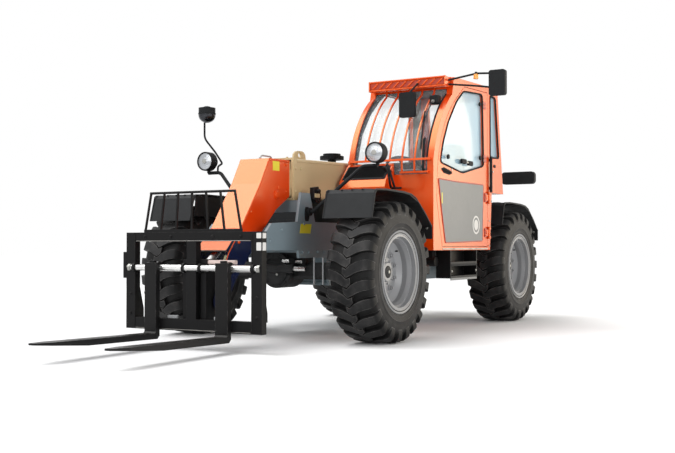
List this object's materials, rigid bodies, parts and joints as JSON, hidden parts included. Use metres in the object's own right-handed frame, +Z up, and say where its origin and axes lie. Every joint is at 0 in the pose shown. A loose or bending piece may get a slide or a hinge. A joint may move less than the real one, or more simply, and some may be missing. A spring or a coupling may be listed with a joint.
{
  "type": "compact telehandler",
  "caption": "Compact telescopic handler: gooseneck boom with a pallet-fork carriage, glazed left-side cab, right-side engine pod, four steered wheels.",
  "frame": {"origin": "on the ground, midway between the two axles, on the boom's centre plane", "axes": "+Z up; the forks point along -Y, so +Y runs from the forks to the tail; the cab is on the +X side"},
  "size_m": [2.756, 6.271, 2.4098],
  "materials": {
    "black_paint": "satin",
    "black_plastic": "matte",
    "cast_iron": "matte",
    "chrome": "polished",
    "dark_paint": "satin",
    "frame_paint": "satin",
    "glass": "clear",
    "orange_paint": "gloss",
    "seat_fabric": "matte",
    "silver_paint": "satin",
    "tan_paint": "gloss",
    "tyre": "matte"
  },
  "bodies": {
    "chassis": {"frame_side_plates": "frame_paint", "frame_cross_members": "frame_paint", "outriggers": "frame_paint", "counterweight": "cast_iron", "front_axle": "cast_iron", "rear_axle": "cast_iron", "cab_shell": "orange_paint", "cab_glass": "glass", "windscreen_guard": "orange_paint", "front_cowl": "orange_paint", "driver_seat": "seat_fabric", "dashboard": "black_plastic", "cab_step": "black_paint", "engine_housing": "dark_paint", "engine_block": "cast_iron", "air_precleaner": "black_plastic", "headlamps": "black_plastic", "mirrors": "black_plastic", "rear_lights": "black_plastic"},
    "door": {"left_door": "orange_paint", "left_door_glass": "glass"},
    "hood": {"engine_hood": "dark_paint"},
    "boom_outer": {"outer_boom": "tan_paint"},
    "boom_inner": {"inner_boom": "tan_paint", "boom_head": "orange_paint"},
    "lift_barrel": {"lift_cylinder_barrel": "black_paint"},
    "lift_rod": {"lift_cylinder_rod": "chrome"},
    "tilt_barrel": {"tilt_cylinder_barrel": "black_paint"},
    "tilt_rod": {"tilt_cylinder_rod": "chrome"},
    "carriage": {"carriage_frame": "black_paint", "fork_shaft": "chrome", "load_guard": "black_paint"},
    "fork_left": {"left_fork": "black_paint"},
    "fork_right": {"right_fork": "black_paint"},
    "front_left_hub": {"front_left_knuckle": "cast_iron", "front_left_fender": "black_plastic"},
    "front_left_wheel": {"front_left_tyre": "tyre", "front_left_rim": "silver_paint"},
    "front_right_hub": {"front_right_knuckle": "cast_iron", "front_right_fender": "black_plastic"},
    "front_right_wheel": {"front_right_tyre": "tyre", "front_right_rim": "silver_paint"},
    "rear_left_hub": {"rear_left_knuckle": "cast_iron", "rear_left_fender": "black_plastic"},
    "rear_left_wheel": {"rear_left_tyre": "tyre", "rear_left_rim": "silver_paint"},
    "rear_right_hub": {"rear_right_knuckle": "cast_iron", "rear_right_fender": "black_plastic"},
    "rear_right_wheel": {"rear_right_tyre": "tyre", "rear_right_rim": "silver_paint"}
  },
  "joints": [
    {"name": "boom_lift", "type": "hinge", "parent": "chassis", "child": "boom_outer", "pos_m": [0, 1.775, 1.477], "axis": [-1, 0, 0], "range_deg": [0, 60]},
    {"name": "boom_extend", "type": "slide", "parent": "boom_outer", "child": "boom_inner", "axis": [0, -0.9995, -0.0307], "range_m": [0, 2.3]},
    {"name": "carriage_tilt", "type": "hinge", "parent": "boom_inner", "child": "carriage", "pos_m": [0, -2.53, 0.37], "axis": [1, 0, 0], "range_deg": [-12, 100]},
    {"name": "left_fork_slide", "type": "slide", "parent": "carriage", "child": "fork_left", "axis": [1, 0, 0], "range_m": [-0.167, 0.163]},
    {"name": "right_fork_slide", "type": "slide", "parent": "carriage", "child": "fork_right", "axis": [-1, 0, 0], "range_m": [-0.205, 0.125]},
    {"name": "lift_cylinder_pivot", "type": "hinge", "parent": "chassis", "child": "lift_barrel", "pos_m": [0, 1.25, 0.83], "axis": [-1, 0, 0], "range_deg": [0, 57.54]},
    {"name": "lift_rod_slide", "type": "slide", "parent": "lift_barrel", "child": "lift_rod", "axis": [0, -0.9596, 0.2813], "range_m": [0, 0.8312]},
    {"name": "tilt_cylinder_pivot", "type": "hinge", "parent": "boom_inner", "child": "tilt_barrel", "pos_m": [0, -1.76, 1.23], "axis": [1, 0, 0], "range_deg": [-1.5, 4.95]},
    {"name": "tilt_rod_slide", "type": "slide", "parent": "tilt_barrel", "child": "tilt_rod", "axis": [0, -0.7975, -0.6033], "range_m": [-0.0505, 0.406]},
    {"name": "left_door_hinge", "type": "hinge", "parent": "chassis", "child": "door", "pos_m": [1.094, 0.648, 1.1], "axis": [0, 0, 1], "range_deg": [0, 90]},
    {"name": "engine_hood_hinge", "type": "hinge", "parent": "chassis", "child": "hood", "pos_m": [-0.352, 0, 1.306], "axis": [0, 1, 0], "range_deg": [0, 60]},
    {"name": "front_left_steer", "type": "hinge", "parent": "chassis", "child": "front_left_hub", "pos_m": [0.74, -1.425, 0.585], "axis": [0, 0, 1], "range_deg": [-30, 30]},
    {"name": "front_left_wheel_spin", "type": "hinge", "parent": "front_left_hub", "child": "front_left_wheel", "pos_m": [0.95, -1.425, 0.585], "axis": [1, 0, 0], "continuous": true},
    {"name": "front_right_steer", "type": "hinge", "parent": "chassis", "child": "front_right_hub", "pos_m": [-0.74, -1.425, 0.585], "axis": [0, 0, 1], "range_deg": [-30, 30]},
    {"name": "front_right_wheel_spin", "type": "hinge", "parent": "front_right_hub", "child": "front_right_wheel", "pos_m": [-0.95, -1.425, 0.585], "axis": [1, 0, 0], "continuous": true},
    {"name": "rear_left_steer", "type": "hinge", "parent": "chassis", "child": "rear_left_hub", "pos_m": [0.74, 1.425, 0.585], "axis": [0, 0, -1], "range_deg": [-30, 30]},
    {"name": "rear_left_wheel_spin", "type": "hinge", "parent": "rear_left_hub", "child": "rear_left_wheel", "pos_m": [0.95, 1.425, 0.585], "axis": [1, 0, 0], "continuous": true},
    {"name": "rear_right_steer", "type": "hinge", "parent": "chassis", "child": "rear_right_hub", "pos_m": [-0.74, 1.425, 0.585], "axis": [0, 0, -1], "range_deg": [-30, 30]},
    {"name": "rear_right_wheel_spin", "type": "hinge", "parent": "rear_right_hub", "child": "rear_right_wheel", "pos_m": [-0.95, 1.425, 0.585], "axis": [1, 0, 0], "continuous": true}
  ],
  "couplings": [
    {"joint": "lift_cylinder_pivot", "follows": "boom_lift", "ratio": 0.95067},
    {"joint": "lift_rod_slide", "follows": "boom_lift", "m_per_rad": 0.79185},
    {"joint": "tilt_cylinder_pivot", "follows": "carriage_tilt", "ratio": 0.044512},
    {"joint": "tilt_rod_slide", "follows": "carriage_tilt", "m_per_rad": 0.23146},
    {"joint": "front_right_steer", "follows": "front_left_steer", "ratio": 1},
    {"joint": "rear_right_steer", "follows": "rear_left_steer", "ratio": 1}
  ]
}
